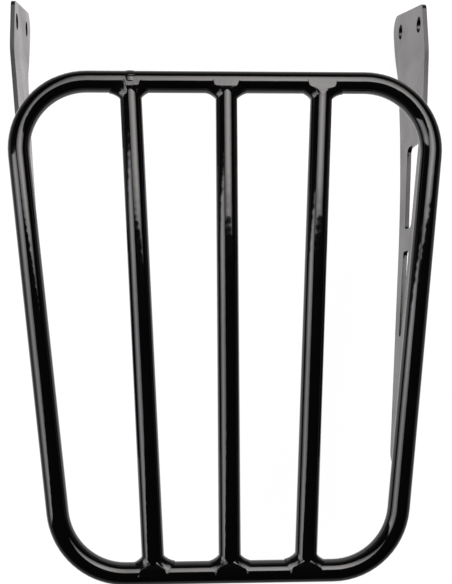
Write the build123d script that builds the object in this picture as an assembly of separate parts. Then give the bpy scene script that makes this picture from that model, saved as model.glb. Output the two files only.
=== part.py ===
from build123d import *
import os
from math import atan2, cos, degrees, hypot, radians, tan

# Motorcycle luggage rack: a bent tube hoop with three bars, welded on two slotted side plates.
# Frame: +X right, +Y forward, +Z up. The origin is the middle of the deck, at the tops of the tubes.
# Lengths are in millimetres and angles in degrees.

# Tube of the hoop and the bars
tube_diameter = 12.7
tube_wall = 1.65

# Deck plan, between tube axes
deck_length = 281.4
front_width = 248.2
rear_width = 187.6
corner_radius = 38.9
bar_spacing_front = 55.8
bar_spacing_rear = 43.3

# Fillet weld collars at the bar ends: toes on the rail and on the bar, bead height on the crest
weld_leg_rail = 6.0
weld_leg_bar = 3.6
weld_crown = 0.5

# Ring weld that closes the hoop, in line with the left bar
seam_width = 5.8
seam_height = 0.4

# Side plates: sheet thickness, and the sheet's middle outboard of the side rail's axis
plate_thickness = 2.66
plate_outset = 2.0
plate_bend_radius = 90.0

# Side plate outline: reach is ahead of the front rail's axis, drop is below the tube axes
rear_end_reach = -224.7
rear_end_drop = 33.5
neck_reach = -34.8
neck_drop = 74.0
shoulder_reach = 31.6
shoulder_drop = 40.5
upper_edge_slope = 13.0

# Front tab of that outline: from the shoulder to the tip, down to the toe, and back along the sole
tab_length = 30.8
tab_fall = 4.3
tab_depth = 78.4
toe_lead = 15.9
sole_length = 33.4
sole_rise = 4.7

# Corner and curve radii of that outline, and the most of an edge that the arcs at its ends may take
rear_corner_radius = 10.0
neck_radius = 440.0
heel_radius = 88.0
toe_radius = 10.0
tip_radius = 5.0
shoulder_radius = 60.0
edge_share = 0.98

# Tapered slots of the side plates: both hang below one straight line
slot_drop = 35.0
slot_corner_radius = 3.0
front_slot_reach = -80.7
front_slot_length = 54.3
front_slot_rear_height = 14.6
front_slot_front_height = 27.6
rear_slot_reach = -148.2
rear_slot_length = 53.5
rear_slot_rear_height = 4.6
rear_slot_front_height = 13.2

# Bolt holes in the front tabs, in a row along the edge from tip to toe
hole_diameter = 10.0
hole_spacing = 48.1
hole_inset = 12.2
hole_row_start = 7.4

# Stitch welds between the plates and the side rails
stitch_length = 22.0
stitch_leg = 2.6
stitch_end_margin = 8.0

# Values that follow from the sizes above
tube_radius = tube_diameter / 2
bore_radius = tube_radius - tube_wall
axis_height = -tube_radius
front_rail = deck_length / 2
rear_rail = -deck_length / 2
rail_taper = atan2((front_width - rear_width) / 2, deck_length)
rail_direction = Vector(tan(rail_taper), 1, 0).normalized()
rail_normal = Vector(rail_direction.Y, -rail_direction.X, 0)
tip_reach = shoulder_reach + tab_length
tip_drop = shoulder_drop + tab_fall
toe_reach = tip_reach + toe_lead
toe_drop = tip_drop + tab_depth
heel_reach = toe_reach - sole_length
heel_drop = toe_drop - sole_rise


def rail_point(y, outset=0.0):
    """Point on the right side rail's axis at the station y, moved outboard by the outset."""
    middle = (front_width + rear_width) / 4
    return Vector(middle + y * tan(rail_taper) + outset / cos(rail_taper), y, axis_height)


def rod(start, end, radius):
    """Round rod between two points."""
    run = end - start
    return extrude(Plane(origin=start, z_dir=run) * Circle(radius), amount=run.length)


def hoop_rod(radius):
    """Solid rod along the hoop's closed axis: straight runs joined by bends of the corner radius."""
    front = front_width / 2
    rear = rear_width / 2
    corners = [(front, front_rail), (-front, front_rail), (-rear, rear_rail), (rear, rear_rail)]
    points = [(x, y, axis_height) for x, y in corners]
    runs = []
    for edge in FilletPolyline(*points, radius=corner_radius, close=True).edges():
        section = Plane(origin=edge @ 0, z_dir=edge % 0) * Circle(radius)
        if edge.geom_type == GeomType.LINE:
            runs.append(extrude(section, amount=edge.length))
        else:
            turn = degrees(edge.length / corner_radius)
            runs.append(revolve(section, axis=Axis(edge.arc_center, (0, 0, 1)), revolution_arc=turn))
    return runs[0] + runs[1:]


def bar_ends(lane):
    """Where a bar's axis meets the front and the rear rail: lane is -1, 0 or 1."""
    front = Vector(lane * bar_spacing_front, front_rail, axis_height)
    rear = Vector(lane * bar_spacing_rear, rear_rail, axis_height)
    return front, rear


def bar_weld(end, other):
    """Fillet collar round a bar's end, where three round rods cross, less the tubes themselves.

    Two of them lie across the corners between bar and rail, from a toe on the rail to a toe on the bar.
    The third lies along the rail, set over towards the bar, and rounds the bead off on the rail's crest.
    """
    along = (other - end).normalized()
    across = Vector(along.Y, -along.X)
    radius = tube_radius + weld_crown
    half_length = 4 * tube_diameter
    collar = None
    for side in (-1, 0, 1):
        outward = (along * weld_leg_rail + across * side * weld_leg_bar).normalized()
        run = Vector(-outward.Y, outward.X)
        toe = along * (tube_radius + weld_leg_bar) + across * side * tube_radius
        middle = end + outward * (toe.dot(outward) - radius)
        crossing = rod(middle - run * half_length, middle + run * half_length, radius)
        collar = crossing if collar is None else collar & crossing
    reach = Vector(half_length, 0, 0)
    rail = rod(end - reach, end + reach, tube_radius)
    return collar - (rail + rod(end, other, tube_radius))


def seam_ring():
    """Flat-topped ring round the front rail, where the hoop's two ends meet."""
    centre = Pos(-bar_spacing_front, front_rail + tube_radius, axis_height)
    crown = centre * Trapezoid(seam_width + 2 * seam_height, 2 * seam_height, 45)
    return revolve(crown, axis=Axis((0, front_rail, axis_height), (1, 0, 0)))


def plate_sheet():
    """Sheet of the right plate, bent so that it follows the rail and then runs straight ahead."""
    rear = rail_point(front_rail + rear_end_reach - plate_thickness, plate_outset)
    bend = rail_point(front_rail + shoulder_reach, plate_outset)
    front = Vector(bend.X, front_rail + toe_reach + plate_thickness, axis_height)
    path = FilletPolyline(rear, bend, front, radius=plate_bend_radius)
    depth = 2 * (toe_drop + plate_thickness)
    section = Plane(origin=path @ 0, x_dir=rail_normal, z_dir=rail_direction)
    return sweep(section * Rectangle(plate_thickness, depth), path=path)


def fitted_radii(points, radii):
    """The radii, made smaller where two arcs would take more than the edge between them."""
    corners = [Vector(*point) for point in points]
    runs = []
    for index, radius in enumerate(radii):
        back = corners[index - 1] - corners[index]
        ahead = corners[(index + 1) % len(corners)] - corners[index]
        runs.append(radius / tan(radians(back.get_angle(ahead) / 2)))
    fitted = list(radii)
    for index in range(len(corners)):
        room = edge_share * (corners[index] - corners[index - 1]).length
        need = max(runs[index - 1] + runs[index], room)
        for end in (index - 1, index):
            fitted[end] = min(fitted[end], radii[end] * room / need)
    return fitted


def side_view(points, radii):
    """Rounded outline in the side view, from reach and drop, as a long block across the rack."""
    corners = [(0, front_rail + reach, axis_height - drop) for reach, drop in points]
    face = make_face(FilletPolyline(*corners, radius=fitted_radii(points, radii), close=True))
    return extrude(face, amount=front_width, dir=(1, 0, 0))


def plate_outline():
    """The plate's silhouette: its upper edge leaves the rail at a slope and falls to the tab."""
    lift_off = shoulder_reach - shoulder_drop / tan(radians(upper_edge_slope))
    points = [
        (rear_end_reach, 0),
        (lift_off, 0),
        (shoulder_reach, shoulder_drop),
        (tip_reach, tip_drop),
        (toe_reach, toe_drop),
        (heel_reach, heel_drop),
        (neck_reach, neck_drop),
        (rear_end_reach, rear_end_drop),
    ]
    radii = [0, 0, shoulder_radius, tip_radius, toe_radius, heel_radius, neck_radius, rear_corner_radius]
    return side_view(points, radii)


def plate_slot(reach, length, rear_height, front_height):
    """Tapered slot, cut square through the sheet where it follows the rail."""
    plane = Plane(origin=rail_point(front_rail), x_dir=rail_direction, z_dir=rail_normal)
    rear = reach / cos(rail_taper)
    corners = [
        (rear, -slot_drop),
        (rear + length, -slot_drop),
        (rear + length, -slot_drop - front_height),
        (rear, -slot_drop - rear_height),
    ]
    radius = min(slot_corner_radius, 0.45 * rear_height)
    face = make_face(FilletPolyline(*corners, radius=radius, close=True))
    return extrude(plane * face, amount=tube_diameter, both=True)


def hole_centres():
    """The two holes of a tab, inset from the edge that runs from tip to toe."""
    tip = Vector(0, front_rail + tip_reach, axis_height - tip_drop)
    toe = Vector(0, front_rail + toe_reach, axis_height - toe_drop)
    edge = (toe - tip).normalized()
    inward = Vector(0, edge.Z, -edge.Y)
    first = tip + edge * hole_row_start + inward * hole_inset
    return [first, first + edge * hole_spacing]


def right_plate(rails):
    plate = plate_sheet() & plate_outline()
    plate -= plate_slot(front_slot_reach, front_slot_length, front_slot_rear_height, front_slot_front_height)
    plate -= plate_slot(rear_slot_reach, rear_slot_length, rear_slot_rear_height, rear_slot_front_height)
    for centre in hole_centres():
        plate -= rod(centre, centre + Vector(front_width, 0, 0), hole_diameter / 2)
    return plate - rails


def stitch_stations():
    """Start stations of the three stitches, spread over the stretch where a plate touches its rail."""
    start = rear_end_reach + rear_corner_radius + stitch_end_margin
    lift_off = shoulder_reach - (shoulder_drop - tube_radius) / tan(radians(upper_edge_slope))
    last = lift_off - stitch_end_margin - stitch_length
    return {
        "rear": front_rail + start,
        "middle": front_rail + (start + last) / 2,
        "front": front_rail + last,
    }


def stitch_weld(station, face, rails):
    """Short bead in the corner between the rail's underside and one face of the right plate.

    The face is -1 for the plate's inner side and 1 for its outer side.
    """
    across = plate_outset + face * plate_thickness / 2
    drop = (tube_radius ** 2 - across ** 2) ** 0.5
    start = rail_point(station, across) - Vector(0, 0, drop)
    end = start + rail_direction * stitch_length
    wall = Plane(origin=(start + end) / 2, x_dir=rail_direction, z_dir=rail_normal * face)
    depth = 2 * stitch_leg
    overrun = rail_direction * depth
    sloped_ends = Trapezoid(stitch_length + 2 * depth, 2 * depth, 45, rotation=90 + 90 * face)
    bead = rod(start - overrun, end + overrun, stitch_leg) & extrude(wall * sloped_ends, amount=depth)
    return bead - rails


def make_parts():
    rails = hoop_rod(tube_radius)
    parts = {"hoop": rails - hoop_rod(bore_radius)}
    for side, lane in {"left": -1, "centre": 0, "right": 1}.items():
        front, rear = bar_ends(lane)
        tube = rod(front, rear, tube_radius) - rod(front, rear, bore_radius)
        parts[f"{side}_bar"] = tube - rails
        parts[f"{side}_bar_front_weld"] = bar_weld(front, rear)
        parts[f"{side}_bar_rear_weld"] = bar_weld(rear, front)
    left_rod = rod(*bar_ends(-1), tube_radius)
    parts["hoop_seam_weld"] = seam_ring() - rails - left_rod - parts["left_bar_front_weld"]
    plate = right_plate(rails)
    stitches = {}
    for place, station in stitch_stations().items():
        for name, face in {"inner": -1, "outer": 1}.items():
            stitches[f"{name}_{place}_stitch"] = stitch_weld(station, face, rails)
    for side in ("left", "right"):
        for name, solid in {"side_plate": plate, **stitches}.items():
            parts[f"{side}_{name}"] = mirror(solid, about=Plane.YZ) if side == "left" else solid
    return parts


os.makedirs("parts", exist_ok=True)
for name, part in make_parts().items():
    export_step(part, f"parts/{name}.step")
    print(name, len(part.solids()), round(part.volume, 1), part.bounding_box())
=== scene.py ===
# %% [markdown]
# # A motorcycle luggage rack in gloss black powder coat
# The rack is a flat hoop of bent steel tube with three bars across it, welded on two slotted side plates.
# The solids come from the CAD model and stay where they are. This lesson adds what the solids lack: weld
# beads with ripples, the softened edges of cut sheet, a powder coat, and a small photo studio around it.

# %% Load the solids and keep their box
from math import cos, pi, radians, sin, sqrt

import bmesh
import bpy
from mathutils import Matrix, Vector


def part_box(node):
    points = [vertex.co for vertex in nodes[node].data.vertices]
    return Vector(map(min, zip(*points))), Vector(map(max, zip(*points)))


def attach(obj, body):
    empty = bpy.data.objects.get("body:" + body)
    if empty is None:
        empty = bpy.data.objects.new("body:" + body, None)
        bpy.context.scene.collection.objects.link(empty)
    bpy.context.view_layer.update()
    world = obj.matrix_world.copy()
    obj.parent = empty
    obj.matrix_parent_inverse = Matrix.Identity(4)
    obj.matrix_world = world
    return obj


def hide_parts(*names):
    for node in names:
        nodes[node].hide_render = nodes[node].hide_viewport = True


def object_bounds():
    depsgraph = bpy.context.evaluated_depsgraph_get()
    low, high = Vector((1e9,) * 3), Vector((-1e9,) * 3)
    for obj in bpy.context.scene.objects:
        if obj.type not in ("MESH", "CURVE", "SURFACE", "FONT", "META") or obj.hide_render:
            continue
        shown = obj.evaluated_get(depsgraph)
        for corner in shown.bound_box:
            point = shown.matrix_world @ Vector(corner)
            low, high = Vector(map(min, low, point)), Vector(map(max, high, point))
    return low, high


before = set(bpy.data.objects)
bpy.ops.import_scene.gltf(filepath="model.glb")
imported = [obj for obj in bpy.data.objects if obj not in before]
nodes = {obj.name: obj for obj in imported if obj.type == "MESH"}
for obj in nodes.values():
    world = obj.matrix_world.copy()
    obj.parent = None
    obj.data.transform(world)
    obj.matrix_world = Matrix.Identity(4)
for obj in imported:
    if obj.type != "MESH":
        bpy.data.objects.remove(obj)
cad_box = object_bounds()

scene = bpy.context.scene
print("solids:", len(nodes), "box:", [round(c, 4) for corner in cad_box for c in corner])

# %% [markdown]
# ## Sizes
# Blender works in metres here, in the same frame as the CAD: +X is the rider's right, +Y is forward and
# +Z is up. The tube tops lie at zero height. These few sizes repeat the drawing, so that a bead lands on
# the joint that it belongs to. One helper turns millimetres into metres, which keeps the numbers readable.

# %% The drawing's sizes
def mm(*sizes):
    """Millimetres to metres: one size gives a number, three give a point."""
    return sizes[0] / 1000 if len(sizes) == 1 else Vector([size / 1000 for size in sizes])


tube_radius = mm(6.35)
axis_height = -tube_radius
front_rail = mm(140.7)
rear_rail = -front_rail
half_front, half_rear = mm(124.1), mm(93.8)
bar_half_front, bar_half_rear = mm(55.8), mm(43.3)
plate_outset, plate_thickness = mm(2.0), mm(2.66)
up = Vector((0, 0, 1))
rail_direction = Vector((half_front - half_rear, front_rail - rear_rail, 0)).normalized()
print("side rails splay by", round(rail_direction.x / rail_direction.y, 4), "per unit of length")

# %% [markdown]
# ## A weld bead
# A weld is a string of small puddles of steel that froze one after another, so a bead looks like a rope
# with rounded steps. One could displace a smooth collar with a texture, but then the steps would not follow
# the joint. Here one ring is extruded from station to station along the joint, and each ring is a little
# fatter or thinner than the last. The rope is sunk into the metal on both sides, so that only its face
# shows.

# %% Extrude a ring along a joint
merge_distance = mm(0.002)
ripple_drift = 0.25


def edges_of(verts):
    """The edges of a ring of vertices, each once and in the same order in every run."""
    return list(dict.fromkeys(edge for vert in verts for edge in vert.link_edges))


def string_bead(name, stations, closed, sides=20):
    """A bead through stations of (centre, outward, half width, half height), as one mesh object."""
    count = len(stations)
    frames = []
    for index, (centre, outward, half_width, half_height) in enumerate(stations):
        before = stations[index - 1 if closed or index else 0][0]
        after = stations[(index + 1) % count if closed else min(index + 1, count - 1)][0]
        travel = (after - before).normalized()
        sideways = travel.cross(outward).normalized()
        height = sideways.cross(travel) * half_height
        columns = (sideways * half_width, height, travel * half_height, centre)
        rows = [[column[axis] for column in columns] for axis in range(3)]
        frames.append(Matrix(rows + [[0, 0, 0, 1]]))
    bm = bmesh.new()
    made = bmesh.ops.create_circle(bm, cap_ends=not closed, segments=sides, radius=1, matrix=frames[0])
    ring = edges_of(made["verts"])
    for index in range(1, count + (1 if closed else 0)):
        made = bmesh.ops.extrude_edge_only(bm, edges=ring)["geom"]
        verts = [item for item in made if isinstance(item, bmesh.types.BMVert)]
        ring = [item for item in made if isinstance(item, bmesh.types.BMEdge)]
        ring = [edge for edge in ring if all(vert in verts for vert in edge.verts)]
        step = frames[index % count] @ frames[index - 1].inverted()
        bmesh.ops.transform(bm, matrix=step, space=Matrix.Identity(4), verts=verts)
    if not closed:
        bmesh.ops.contextual_create(bm, geom=ring)
    bmesh.ops.remove_doubles(bm, verts=bm.verts, dist=merge_distance)
    return finished_piece(name, bm)


def finished_piece(name, bm):
    """Turns a bmesh into an object at the origin that rides with the rack, with its faces outwards."""
    bmesh.ops.recalc_face_normals(bm, faces=bm.faces)
    # An extrusion makes its faces in no fixed order. Sorted by place, they are the same in each run.
    for index, face in enumerate(sorted(bm.faces, key=lambda face: tuple(face.calc_center_median()))):
        face.index = index
        face.smooth = True
    bm.faces.sort()
    mesh = bpy.data.meshes.new(name)
    bm.to_mesh(mesh)
    bm.free()
    piece = bpy.data.objects.new(name, mesh)
    scene.collection.objects.link(piece)
    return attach(piece, "root")


def ripple(turn, count, phase):
    """Height of the frozen steps, from 0 in a valley to 1 on a crest, for a turn from 0 to 1."""
    return abs(sin(pi * (count * turn + ripple_drift * sin(2 * pi * turn + phase) + phase)))


print("bead maker ready")

# %% [markdown]
# ## Fillet beads at the bar ends
# Each bar stops against a rail of the same diameter. The weld runs over the crest, down both flanks and
# under the tubes. It has two toes, the lines where weld metal ends: one lies on the rail and one on the bar.
# On the crest the metal heaps up to a flat tongue, on most of the welds wider than the bar. On the flanks it
# fills the corner with a hollow fillet, as a bead that was drawn along quickly does. A rope would bulge too
# much for that. So each loop of the weld is a circle that is laid between the two toes and pulled towards a
# guide, which is the ridge of the tongue on top and the bare corner at the side, and the loops are bridged to
# a surface.

# %% The section of a fillet bead
rail_toe_side, rail_toe_top, rail_toe_curve = mm(12.35), mm(-0.5), 1.2
bar_toe_side, bar_toe_top, bar_toe_curve = mm(9.95), mm(5.6), 1.5
bar_toe_swell = mm(2.0)
ridge_along, ridge_inset = mm(3.2), mm(0.2)
flat_share, turn_share = 0.36, 0.16
flat_lap, full_lap = radians(14), radians(90)
ridge_pull, corner_pull, flank_pull = 6, 0.9, 0.3


def weld_point(reach, top, share, tongue, rise, neck):
    """A point on the weld: reach runs 0 to 1 from the crest to the flank, share 0 to 1 from rail to bar."""
    flat = min(1, reach / flat_share)
    down = max(0, (reach - flat_share) / (1 - flat_share))
    drop = sin(full_lap * down)
    rail_along = rail_toe_top + (tube_radius - rail_toe_top) * drop ** rail_toe_curve
    rail_height = sqrt(max(tube_radius ** 2 - rail_along ** 2, 0))
    rail = Vector((tongue * flat + (rail_toe_side - tongue) * drop, rail_along, rail_height))
    lap = flat_lap * flat + (full_lap - flat_lap) * down
    wrap, height = tube_radius * sin(lap), tube_radius * cos(lap)
    bar_along = bar_toe_top + (bar_toe_side - bar_toe_top) * sin(lap) ** bar_toe_curve
    bar_along += bar_toe_swell * sin(2 * lap) ** 2 + neck * (1 - flat * flat)
    turn = min(1, max(0, (reach - flat_share) / turn_share))
    turn = turn * turn * (3 - 2 * turn)
    ridge = Vector(((tongue - ridge_inset) * flat, ridge_along, tube_radius + rise))
    guide = ridge.lerp(Vector((wrap, wrap, height)), turn)
    pull = ridge_pull + (corner_pull + (flank_pull - corner_pull) * drop - ridge_pull) * turn
    weights = ((1 - share) ** 2, 2 * pull * share * (1 - share), share ** 2)
    bar = Vector((wrap, bar_along, height))
    point = (rail * weights[0] + guide * weights[1] + bar * weights[2]) / sum(weights)
    return Vector((point.x, point.y, point.z if top >= 0 else -point.z))


print("fillet toes on rail and bar:", [round(toe, 5) for toe in (rail_toe_side, bar_toe_side)], "m")

# %% [markdown]
# Small steps and slow lumps lie on the face of each bead, and they fade towards its toes and its crest. The
# loops are bridged one to the next. A last loop, hidden in the tubes, closes the bead to a solid ring.

# %% One fillet bead
step_height, step_lean, step_bends = mm(0.06), 0.12, 9
lump_height, lump_count, lump_phase = mm(0.1), 3, 7
crest_share, along_share = 0.2, 0.5
hidden_share, hidden_width, hidden_height = 0.5, 0.5, 0.7


def fillet_bead(name, end, other, phase, form, segments=192, loops=15, steps=21):
    """The weld round one bar end, as a closed ring of bridged loops."""
    along = (other - end).normalized()
    across = along.cross(up)
    left_tongue, right_tongue, rise, neck = [mm(size) for size in form]
    bm = bmesh.new()
    rings = []
    for row in range(loops + 1):
        made = bmesh.ops.create_circle(bm, segments=segments, radius=tube_radius)["verts"]
        rings.append(edges_of(made))
        for index, vert in enumerate(made):
            turn = index / segments
            side, top = sin(2 * pi * turn), cos(2 * pi * turn)
            reach = 1 - abs(1 - (4 * turn) % 2)
            tongue = left_tongue if side * across.x < 0 else right_tongue
            share = hidden_share if row == loops else row / (loops - 1)
            local = weld_point(reach, top, share, tongue, rise, neck)
            if row == loops:
                local = Vector((hidden_width * local.x, hidden_width * local.y, hidden_height * local.z))
            else:
                step = step_height * (ripple(turn, steps, phase + step_lean * sin(step_bends * share)) - 0.5)
                lump = lump_height * sin(2 * pi * lump_count * turn + lump_phase * phase)
                fade = 4 * share * (1 - share) * (crest_share + (1 - crest_share) * side ** 2)
                outward = Vector((local.x, along_share * local.y, local.z)).normalized()
                local += outward * (step + lump) * fade
            local.x *= 1 if side >= 0 else -1
            vert.co = end + across * local.x + along * local.y + up * local.z
    for first, second in zip(rings, rings[1:] + rings[:1]):
        bmesh.ops.bridge_loops(bm, edges=first + second)
    bmesh.ops.remove_doubles(bm, verts=bm.verts, dist=merge_distance)
    return finished_piece(name, bm)


print("fillet bead: steps of", round(step_height, 5), "m and lumps of", round(lump_height, 5), "m")

# %% [markdown]
# No two hand welds are alike. The table gives each one's tongue to the left and the right of the bar, its
# rise above the tubes, and how far a neck of it runs out along the crest of the bar, all in millimetres.

# %% Six fillet beads
hand_welds = {"left_bar_front": (2.8, 5.3, 0.42, 0), "left_bar_rear": (8.2, 7.1, 0.42, 0),
              "centre_bar_front": (7.6, 6.5, 0.42, 0), "centre_bar_rear": (8.0, 9.4, 0.42, 0),
              "right_bar_front": (8.6, 7.6, 0.24, 3.5), "right_bar_rear": (8.8, 8.8, 0.42, 0)}
place_phase, lane_phase = {"front": 0.1, "rear": 0.6}, 0.37
sharp_angle = radians(60)

bead_pieces = []
for lane, side in ((-1, "left"), (0, "centre"), (1, "right")):
    front = Vector((lane * bar_half_front, front_rail, axis_height))
    rear = Vector((lane * bar_half_rear, rear_rail, axis_height))
    for place, end, other in (("front", front, rear), ("rear", rear, front)):
        weld = f"{side}_bar_{place}"
        phase = lane_phase * lane + place_phase[place]
        bead = fillet_bead(f"{weld}_bead", end, other, phase, hand_welds[weld])
        bead.data.set_sharp_from_angle(angle=sharp_angle)
        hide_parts(f"{weld}_weld")
        bead_pieces.append(bead)
        print(bead.name, len(bead.data.polygons), "faces")

# %% [markdown]
# ## The hoop's seam
# The hoop is one length of tube, and its two ends meet on the front rail in line with the left bar. A low
# ring of weld closes it. It is the same rope, on a circle round the rail.

# %% One ring bead
seam_half_width, seam_half_height = mm(3.915), mm(1.2)
seam_rise, seam_step = mm(0.36), mm(0.1)
seam_waver, seam_waves, seam_phase = 0.06, 3, 0.2


def ring_stations(centre, radius, count=150, steps=19):
    """Stations on a circle round a tube that runs along X."""
    stations = []
    for index in range(count):
        turn = index / count
        outward = Vector((0, cos(2 * pi * turn), sin(2 * pi * turn)))
        rise = seam_rise - seam_step * (1 - ripple(turn, steps, seam_phase))
        middle = centre + outward * (radius + rise - seam_half_height)
        half_width = seam_half_width * (1 + seam_waver * sin(2 * pi * seam_waves * turn))
        stations.append((middle, outward, half_width, seam_half_height))
    return stations


seam_centre = Vector((-bar_half_front, front_rail, axis_height))
seam_bead = string_bead("hoop_seam_bead", ring_stations(seam_centre, tube_radius), closed=True)
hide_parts("hoop_seam_weld")
bead_pieces.append(seam_bead)
print(seam_bead.name, len(seam_bead.data.polygons), "faces")

# %% [markdown]
# ## Stitch beads under the side rails
# The side plates hang from the rails by short stitches, on both faces of the sheet. A stitch starts and
# stops, so its rings shrink towards both ends. The CAD solid gives the place of each one.

# %% Twelve stitches
stitch_leg, stitch_half_run = mm(2.6), mm(11)
stitch_step, stitch_phase = 0.07, 0.3
stitch_bluntness, stitch_tip = 5, 0.01


def stitch_stations(start, end, count=54, steps=11):
    """Stations along a straight stitch whose ends taper off."""
    stations = []
    for index in range(count):
        turn = index / (count - 1)
        taper = sqrt(max(1 - abs(2 * turn - 1) ** stitch_bluntness, stitch_tip))
        size = stitch_leg * taper * (1 - stitch_step * (1 - ripple(turn, steps, stitch_phase)))
        stations.append((start.lerp(end, turn), up, size, size))
    return stations


for side, sign in (("left", -1), ("right", 1)):
    for name, face in (("inner", -1), ("outer", 1)):
        for place in ("front", "middle", "rear"):
            node = f"{side}_{name}_{place}_stitch"
            low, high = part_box(node)
            across = plate_outset + face * plate_thickness / 2
            drop = sqrt(tube_radius ** 2 - across ** 2)
            middle_y = (low.y + high.y) / 2
            middle_x = (half_front + half_rear) / 2 + middle_y * rail_direction.x / rail_direction.y
            middle_x += across / rail_direction.y
            run = Vector((sign * rail_direction.x, rail_direction.y, 0)) * stitch_half_run
            middle = Vector((sign * middle_x, middle_y, axis_height - drop))
            stations = stitch_stations(middle - run, middle + run)
            stitch = string_bead(f"{node}_bead", stations, closed=False, sides=16)
            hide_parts(node)
            bead_pieces.append(stitch)
print("beads:", len(bead_pieces))

# %% [markdown]
# ## Softened side plates
# The plates are cut from sheet, tumbled and coated, so no edge is knife-sharp: a thin line of light runs
# along every edge. The solid has sharp edges. A copy of its mesh is merged, its flat areas are joined into
# whole faces, and a small round bevel goes along every edge where two faces meet at a real corner. A
# weighted-normal modifier then keeps the broad faces flat to the eye and leaves the turn of light to the
# edge.

# %% Bevel a copy of each plate
edge_round = mm(0.45)
flat_angle, corner_angle = radians(0.5), radians(40)


def softened_plate(node):
    """A copy of a plate's solid with round edges, which is shown in its place."""
    bm = bmesh.new()
    bm.from_mesh(nodes[node].data)
    bmesh.ops.remove_doubles(bm, verts=bm.verts, dist=merge_distance)
    bmesh.ops.dissolve_limit(bm, angle_limit=flat_angle, verts=bm.verts, edges=bm.edges)
    shared = [edge for edge in bm.edges if len(edge.link_faces) == 2]
    corners = [edge for edge in shared if edge.calc_face_angle() > corner_angle]
    bmesh.ops.bevel(bm, geom=corners, offset=edge_round, affect="EDGES", segments=3, profile=0.5,
                    material=-1, clamp_overlap=True)
    plate = finished_piece(f"{node}_softened", bm)
    plate.data.set_sharp_from_angle(angle=corner_angle)
    even = plate.modifiers.new("even_faces", "WEIGHTED_NORMAL")
    even.mode, even.weight, even.keep_sharp = "FACE_AREA", 100, True
    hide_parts(node)
    print(plate.name, len(plate.data.polygons), "faces, with round edges")
    return plate


plates = [softened_plate("left_side_plate"), softened_plate("right_side_plate")]

# %% [markdown]
# ## Gloss black powder coat
# The whole rack is sprayed with black polyester powder and baked. The powder melts into a thick, glossy skin:
# almost no light comes from its body, and nearly all that one sees is reflection. Baked powder is never quite
# flat. It has orange peel, a waviness with a wavelength of two or three millimetres, and a slower flow of
# about a centimetre, which makes the end of a streak of light run out in waves. One could lay a clear coat
# over a black paint, but powder is a single skin, so one glossy layer with the index of a polymer is enough.

# %% Colours and nodes
def linear(hex_colour):
    """An sRGB hex colour as linear red, green, blue and alpha."""
    parts = [int(hex_colour[i:i + 2], 16) / 255 for i in (1, 3, 5)]
    return [p / 12.92 if p <= 0.04045 else ((p + 0.055) / 1.055) ** 2.4 for p in parts] + [1]


def add(tree, kind, values=None, **settings):
    """Adds a node. A value that is an output socket is linked, and any other value is set."""
    node = tree.nodes.new(kind)
    for name, setting in settings.items():
        setattr(node, name, setting)
    for socket, value in (values or {}).items():
        if isinstance(value, bpy.types.NodeSocket):
            tree.links.new(value, node.inputs[socket])
        else:
            node.inputs[socket].default_value = value
    return node


print("middle grey #808080 in linear light:", round(linear("#808080")[0], 4))

# %% [markdown]
# The coats on this rack differ only in a few numbers, so one function makes them all. Three noises lie on
# Object coordinates, each with its scale worked out from a real size. The peel and the flow tilt the normal,
# and a slow drift makes the skin a little glossier and blacker here, and duller and paler there.

# %% One powder coat
flow_mm, drift_mm, polymer_ior = 8, 30, 1.45
drift_low, drift_high = 0.3, 0.7
glossier, duller = 0.8, 1.25


def powder_coat(name, peel_mm, peel_depth_mm, flow_depth_mm, roughness, colours):
    """Black powder coat: orange peel of the given wavelength and depth, over a flow of the given depth."""
    material = bpy.data.materials.new(name)
    material.use_nodes = True
    tree = material.node_tree
    shader = tree.nodes["Principled BSDF"]
    place = add(tree, "ShaderNodeTexCoord").outputs["Object"]
    peel = add(tree, "ShaderNodeTexNoise", {"Vector": place, "Scale": 1000 / peel_mm, "Detail": 2.0})
    flow = add(tree, "ShaderNodeTexNoise", {"Vector": place, "Scale": 1000 / flow_mm, "Detail": 1.0})
    drift = add(tree, "ShaderNodeTexNoise", {"Vector": place, "Scale": 1000 / drift_mm, "Detail": 3.0})
    drift = drift.outputs["Fac"]
    tint = add(tree, "ShaderNodeMix", {"Factor": drift, "A": linear(colours[0]), "B": linear(colours[1])},
               data_type="RGBA")
    sheen = add(tree, "ShaderNodeMapRange", {"Value": drift, "From Min": drift_low, "From Max": drift_high,
                                             "To Min": roughness * glossier, "To Max": roughness * duller})
    waves = add(tree, "ShaderNodeBump", {"Height": flow.outputs["Fac"], "Strength": 1.0,
                                         "Distance": mm(flow_depth_mm)})
    bump = add(tree, "ShaderNodeBump", {"Height": peel.outputs["Fac"], "Strength": 1.0,
                                        "Distance": mm(peel_depth_mm), "Normal": waves.outputs["Normal"]})
    tree.links.new(tint.outputs["Result"], shader.inputs["Base Color"])
    tree.links.new(sheen.outputs["Result"], shader.inputs["Roughness"])
    tree.links.new(bump.outputs["Normal"], shader.inputs["Normal"])
    shader.inputs["IOR"].default_value = polymer_ior
    return material


print("powder coat: index", polymer_ior, "and a flow of", flow_mm, "mm")

# %% [markdown]
# The tube is smooth drawn steel, so its coat mirrors the lamps as clean streaks, and only the slow flow makes
# their ends ragged. Cut sheet is blasted before it is coated, which leaves a satin face: seen at a low angle
# it turns an even grey. Weld metal is rough underneath, so the coat over it is the most uneven and its
# highlights break up.

# %% Three coats, one for each kind of metal beneath
tube_coat = powder_coat("gloss_powder_coat_on_drawn_tube", peel_mm=2.6, peel_depth_mm=0.006,
                        flow_depth_mm=0.08, roughness=0.055, colours=("#030303", "#050506"))
plate_coat = powder_coat("gloss_powder_coat_on_cut_sheet", peel_mm=2.2, peel_depth_mm=0.006,
                         flow_depth_mm=0.015, roughness=0.25, colours=("#040404", "#070708"))
weld_coat = powder_coat("gloss_powder_coat_on_weld_metal", peel_mm=2.4, peel_depth_mm=0.12,
                        flow_depth_mm=0.05, roughness=0.12, colours=("#040404", "#060607"))


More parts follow.
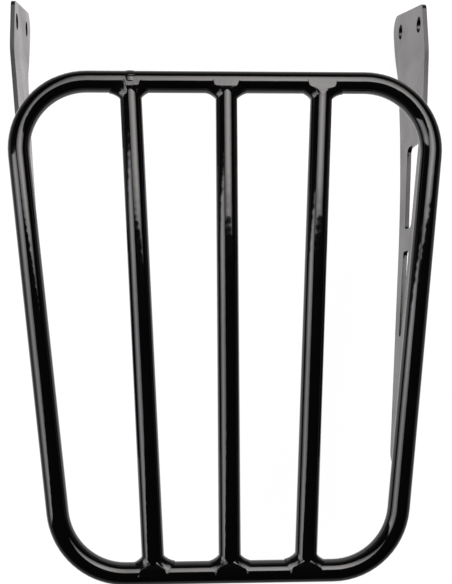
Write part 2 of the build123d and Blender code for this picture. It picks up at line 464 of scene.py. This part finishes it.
def coat(piece, material):
    """Gives a modelled piece its material."""
    piece.data.materials.clear()
    piece.data.materials.append(material)


for node in ("hoop", "left_bar", "centre_bar", "right_bar"):
    nodes[node].material_slots[0].material = tube_coat
for plate in plates:
    coat(plate, plate_coat)
for bead in bead_pieces:
    coat(bead, weld_coat)
print("coats:", tube_coat.name, plate_coat.name, weld_coat.name)

# %% [markdown]
# ## The floor
# A pale floor lies just under the side plates. It is one flat disc, so wide that its rim is far away.

# %% Floor
floor_gap, floor_radius = mm(0.6), 12
floor_height = cad_box[0].z - floor_gap
bm = bmesh.new()
lowered = Matrix.Translation((0, 0, floor_height))
bmesh.ops.create_circle(bm, cap_ends=True, segments=96, radius=floor_radius, matrix=lowered)
floor_mesh = bpy.data.meshes.new("floor")
bm.to_mesh(floor_mesh)
bm.free()
floor = bpy.data.objects.new("floor", floor_mesh)
scene.collection.objects.link(floor)
print("floor at", round(floor_height, 5))

# %% [markdown]
# The floor is brightest under the rack and falls off to grey. This is a pool of light painted into its colour
# and into its own glow. Part of its light is its own, for the camera and for mirror rays alike, so that the
# picture has a white ground and the coat reflects the same white. The rest comes from the lamps, so the rack
# still drops its shadow there. Four soft edges, multiplied, give the painted pool of light.

# %% Its painted pool of light
light_pool_edges = (("X", -0.16, -0.42), ("X", 0.18, 0.30), ("Y", -0.19, -0.32), ("Y", 0.24, 0.50))
grey_body, painted_pool_body = 0.12, 0.2
grey_light, painted_pool_light = 0.32, 0.87
paper_roughness, paper_gloss = 0.9, 0.1

pool_floor = bpy.data.materials.new("floor_with_painted_light_pool")
pool_floor.use_nodes = True
tree = pool_floor.node_tree
shader = tree.nodes["Principled BSDF"]
place = add(tree, "ShaderNodeTexCoord").outputs["Object"]
ways = add(tree, "ShaderNodeSeparateXYZ", {"Vector": place}).outputs
light_pool = 1.0
for way, bright, grey in light_pool_edges:
    edge = add(tree, "ShaderNodeMapRange", {"Value": ways[way], "From Min": grey, "From Max": bright},
               interpolation_type="SMOOTHSTEP")
    both = add(tree, "ShaderNodeMath", {0: edge.outputs["Result"], 1: light_pool}, operation="MULTIPLY")
    light_pool = both.outputs[0]
# Painted pool of light: inside the pool the floor's base colour and its own glow are raised, and outside it
# they fall to grey.
body = add(tree, "ShaderNodeMapRange", {"Value": light_pool, "To Min": grey_body, "To Max": painted_pool_body})
light = add(tree, "ShaderNodeMapRange", {"Value": light_pool, "To Min": grey_light, "To Max": painted_pool_light})
rays = add(tree, "ShaderNodeLightPath").outputs
seen = add(tree, "ShaderNodeMath", {0: rays["Is Camera Ray"], 1: rays["Is Glossy Ray"]}, operation="MAXIMUM")
seen = add(tree, "ShaderNodeMath", {0: seen.outputs[0], 1: rays["Is Transmission Ray"]}, operation="MAXIMUM")
glow = add(tree, "ShaderNodeMath", {0: light.outputs["Result"], 1: seen.outputs[0]}, operation="MULTIPLY")
tree.links.new(body.outputs["Result"], shader.inputs["Base Color"])
tree.links.new(glow.outputs[0], shader.inputs["Emission Strength"])
shader.inputs["Emission Color"].default_value = linear("#fffcfe")
shader.inputs["Roughness"].default_value = paper_roughness
shader.inputs["Specular IOR Level"].default_value = paper_gloss
floor_mesh.materials.append(pool_floor)
print("floor material:", pool_floor.name)

# %% [markdown]
# ## Two softboxes
# Black gloss shows only what it mirrors, so the lamps are placed by the streaks that the photograph has. A
# softbox is brightest before its bulb and fades to its rim, which gives the streaks their soft edges, so
# each lamp has a strength that falls off over its cloth. The first one hangs level above the front of the
# rack. It gives the front part of each bar a streak down its middle, and the two cross rails a streak on
# their front side. Its cloth is a touch warm, as these streaks are.

# %% A softbox, and the front one
def softbox(name, centre, turn, width, height, tint):
    """An area lamp with a radiance of 1. Gives its node tree, and the strength that a falloff drives."""
    data = bpy.data.lights.new(name, "AREA")
    data.shape = "RECTANGLE"
    data.size, data.size_y = width, height
    data.energy = pi * width * height
    data.color = linear(tint)[:3]
    data.use_nodes = True
    lamp = bpy.data.objects.new(name, data)
    lamp.location = centre
    lamp.rotation_euler = turn
    lamp.visible_camera = False
    scene.collection.objects.link(lamp)
    print(name, [round(c, 3) for c in lamp.location], round(data.energy, 1), "W")
    return data.node_tree, data.node_tree.nodes["Emission"].inputs["Strength"]


bulb_x, bulb_y, bulb_stretch = 0.2, 0.4, 0.45
bulb_level, cloth_level, cloth_reach = 9.4, 1.9, 0.62
rim_edge, rim_inside, rim_share = 0.18, 0.26, 0.62

tree, strength = softbox("front_softbox", centre=(0.24, 0.8, 1.0), turn=(0, 0, 0),
                         width=1.36, height=1.24, tint="#fffbf9")
place = add(tree, "ShaderNodeNewGeometry").outputs["Position"]
bulb = add(tree, "ShaderNodeMapping", {"Vector": place, "Scale": (1, bulb_stretch, 0),
                                       "Location": (-bulb_x, -bulb_y * bulb_stretch, 0)})
distance = add(tree, "ShaderNodeVectorMath", {0: bulb.outputs["Vector"]}, operation="LENGTH")
fade = add(tree, "ShaderNodeMapRange", {"Value": distance.outputs["Value"], "From Min": 0,
                                        "From Max": cloth_reach, "To Min": bulb_level,
                                        "To Max": cloth_level})
depth = add(tree, "ShaderNodeSeparateXYZ", {"Vector": place}).outputs["Y"]
rim = add(tree, "ShaderNodeMapRange", {"Value": depth, "From Min": rim_edge, "From Max": rim_inside,
                                       "To Min": rim_share})
fade = add(tree, "ShaderNodeMath", {0: fade.outputs["Result"], 1: rim.outputs["Result"]},
           operation="MULTIPLY")
tree.links.new(fade.outputs[0], strength)

# %% [markdown]
# The second softbox stands upright on the left and lights the left flank of the bars. It is brightest at the
# height of its bulb and dimmer at its foot, its top and its rear. Its front rim fades along a slant, so its
# streaks start thin, beside the first lamp's, and widen to the rear. Its cloth is a touch cool, as they are.

# %% The left softbox
roll = radians(-7.4)
facing_right = (radians(90), roll, radians(-90))
foot_height, middle_height, top_height = 0.04, 0.6, 1.95
foot_level, middle_level, top_level = 0.2, 7.4, 2.0
dim_place, full_place, dim_share = 0, 0.14, 0.77
slant_rise, slant_edge, slant_inside = 0.16, 0.165, 0.115

tree, strength = softbox("left_softbox", centre=(-1.0, -0.005, 0.95), turn=facing_right,
                         width=0.75, height=2.0, tint="#fafaff")
place = add(tree, "ShaderNodeNewGeometry").outputs["Position"]
ways = add(tree, "ShaderNodeSeparateXYZ", {"Vector": place}).outputs
rise = add(tree, "ShaderNodeMapRange", {"Value": ways["Z"],
                                        "From Min": foot_height, "From Max": middle_height,
                                        "To Min": foot_level, "To Max": middle_level})
fall = add(tree, "ShaderNodeMapRange", {"Value": ways["Z"],
                                        "From Min": middle_height, "From Max": top_height,
                                        "To Min": middle_level, "To Max": top_level})
dimmer = add(tree, "ShaderNodeMapRange", {"Value": ways["Y"], "From Min": dim_place, "From Max": full_place,
                                          "To Min": dim_share})
slant = add(tree, "ShaderNodeVectorMath", {0: place, 1: (0, 1, -slant_rise)}, operation="DOT_PRODUCT")
rim = add(tree, "ShaderNodeMapRange", {"Value": slant.outputs["Value"], "From Min": slant_edge,
                                       "From Max": slant_inside})
fade = add(tree, "ShaderNodeMath", {0: rise.outputs["Result"], 1: fall.outputs["Result"]},
           operation="MINIMUM")
for share in (dimmer, rim):
    fade = add(tree, "ShaderNodeMath", {0: fade.outputs[0], 1: share.outputs["Result"]}, operation="MULTIPLY")
tree.links.new(fade.outputs[0], strength)

# %% [markdown]
# ## The room
# Gloss black looks black only where it mirrors darkness, so the room is dim. Only low down does it turn as
# pale as the far floor. The floor then runs into it without an edge, and the front rail mirrors a soft grey
# band, as in the photograph. The height of a ray's direction is enough to mix the two.

# %% World
haze_low, haze_high = 0.02, 0.24
pale_level, dim_level = 0.325, 0.014

world = bpy.data.worlds.new("dim_studio")
world.use_nodes = True
tree = world.node_tree
direction = add(tree, "ShaderNodeTexCoord").outputs["Generated"]
height = add(tree, "ShaderNodeSeparateXYZ", {"Vector": direction}).outputs["Z"]
haze = add(tree, "ShaderNodeMapRange", {"Value": height, "From Min": haze_low, "From Max": haze_high,
                                        "To Min": pale_level, "To Max": dim_level},
           interpolation_type="SMOOTHSTEP")
tree.links.new(haze.outputs["Result"], tree.nodes["Background"].inputs["Strength"])
tree.nodes["Background"].inputs["Color"].default_value = linear("#fffcfc")
scene.world = world
print("room:", world.name)

# %% [markdown]
# ## The camera
# The photograph looks almost straight down on the deck, from a little behind and left of its middle. The
# lens and the place were found by fitting the hoop's outline, and the small sideways shift stands for the
# way the picture was cropped.

# %% Camera
image_width, image_height = 452, 584
focal_pixels = 1007
centre_column = 200
sensor_mm = 36
turn_x, turn_y, turn_z = -0.04306, 0.04527, 0.00408
offset = mm(16.1403, -18.7288, -579.2291)

lens = bpy.data.cameras.new("photo_lens")
lens.sensor_width = sensor_mm
lens.lens = sensor_mm * focal_pixels / image_height
lens.shift_x = (image_width / 2 - centre_column) / image_height
camera = bpy.data.objects.new("photo_camera", lens)
turned = Matrix.Rotation(turn_y, 3, "Y") @ Matrix.Rotation(turn_x, 3, "X")
to_camera = Matrix.Rotation(turn_z, 3, "Z") @ turned
camera_place = to_camera.transposed() @ -offset + Vector((0, 0, axis_height))
camera.matrix_world = Matrix.Translation(camera_place) @ to_camera.transposed().to_4x4()
scene.collection.objects.link(camera)
scene.camera = camera
scene.view_settings.view_transform = "Standard"
print("camera at", [round(c, 4) for c in camera.location], "lens", round(lens.lens, 2), "mm")
